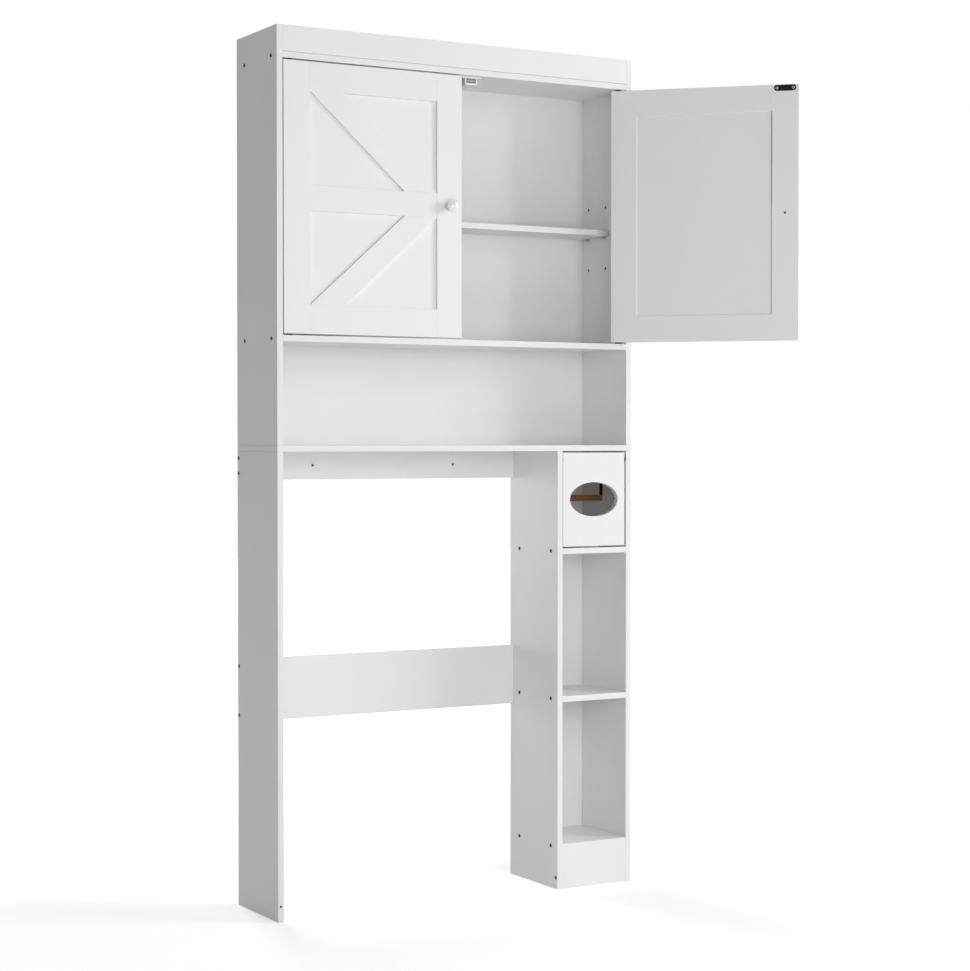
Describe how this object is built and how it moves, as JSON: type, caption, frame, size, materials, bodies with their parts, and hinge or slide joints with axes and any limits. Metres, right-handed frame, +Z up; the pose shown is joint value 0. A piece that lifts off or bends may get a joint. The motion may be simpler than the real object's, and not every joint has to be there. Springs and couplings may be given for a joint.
{
  "type": "over the toilet storage cabinet",
  "caption": "Tall white cabinet that stands over a toilet: framed doors with braces above an open shelf, a side tower with a paper-roll flap, and rear cross rails.",
  "frame": {"origin": "front outer corner of the left leg's foot, on the floor", "axes": "+X to the right along the front, +Y to the back towards the wall, +Z up"},
  "size_m": [1.0449, 0.4465, 1.7],
  "materials": {
    "white_board": "satin white melamine on particle board",
    "white_back": "thin white hardboard",
    "white_door": "satin white paint on fibreboard",
    "white_knob": "gloss white",
    "steel_pin": "bright steel",
    "black_strike": "black lacquer",
    "black_bush": "black nylon",
    "catch_plastic": "off-white plastic",
    "magnet": "sintered ferrite",
    "rod_wood": "oiled brown wood"
  },
  "bodies": {
    "carcass": {"adjustable_shelf": "white_board", "cabinet_floor": "white_board", "catch_blades": "steel_pin", "catch_magnets": "magnet", "deck_board": "white_board", "flap_catch": "catch_plastic", "flap_pins": "steel_pin", "header_board": "white_board", "left_door_catch": "catch_plastic", "left_door_pins": "steel_pin", "left_leg": "white_board", "lower_stretcher": "white_board", "plinth": "white_board", "right_door_catch": "catch_plastic", "right_door_pins": "steel_pin", "roll_shelf": "white_board", "shelf_pins": "steel_pin", "top_board": "white_board", "tower_back": "white_back", "tower_floor": "white_board", "tower_left_side": "white_board", "tower_right_side": "white_board", "tower_shelf": "white_board", "upper_back": "white_back", "upper_left_side": "white_board", "upper_right_side": "white_board", "wall_rail": "white_board"},
    "left_door": {"left_door_bottom_rail": "white_door", "left_door_bushes": "black_bush", "left_door_hinge_stile": "white_door", "left_door_knob": "white_knob", "left_door_lower_brace": "white_door", "left_door_meeting_stile": "white_door", "left_door_middle_rail": "white_door", "left_door_panel": "white_door", "left_door_strike": "black_strike", "left_door_top_rail": "white_door", "left_door_upper_brace": "white_door"},
    "right_door": {"right_door_bottom_rail": "white_door", "right_door_bushes": "black_bush", "right_door_hinge_stile": "white_door", "right_door_knob": "white_knob", "right_door_lower_brace": "white_door", "right_door_meeting_stile": "white_door", "right_door_middle_rail": "white_door", "right_door_panel": "white_door", "right_door_strike": "black_strike", "right_door_top_rail": "white_door", "right_door_upper_brace": "white_door"},
    "roll_flap": {"flap_bushes": "black_bush", "flap_strike": "black_strike", "roll_flap": "white_door"},
    "roll_rod": {"roll_rod": "rod_wood"}
  },
  "joints": [
    {"name": "left_door_hinge", "type": "hinge", "parent": "carcass", "child": "left_door", "pos_m": [0.028, 0.006, 1.3765], "axis": [0, 0, -1], "range_deg": [0, 135.89]},
    {"name": "right_door_hinge", "type": "hinge", "parent": "carcass", "child": "right_door", "pos_m": [0.772, 0.006, 1.3765], "axis": [0, 0, 1], "range_deg": [-135.89, 0]},
    {"name": "roll_flap_hinge", "type": "hinge", "parent": "carcass", "child": "roll_flap", "pos_m": [0.7095, 0.006, 0.8775], "axis": [-1, 0, 0], "range_deg": [0, 135]},
    {"name": "roll_rod_lift", "type": "slide", "parent": "carcass", "child": "roll_rod", "axis": [0, 0, 1], "range_m": [0, 0.04]}
  ]
}
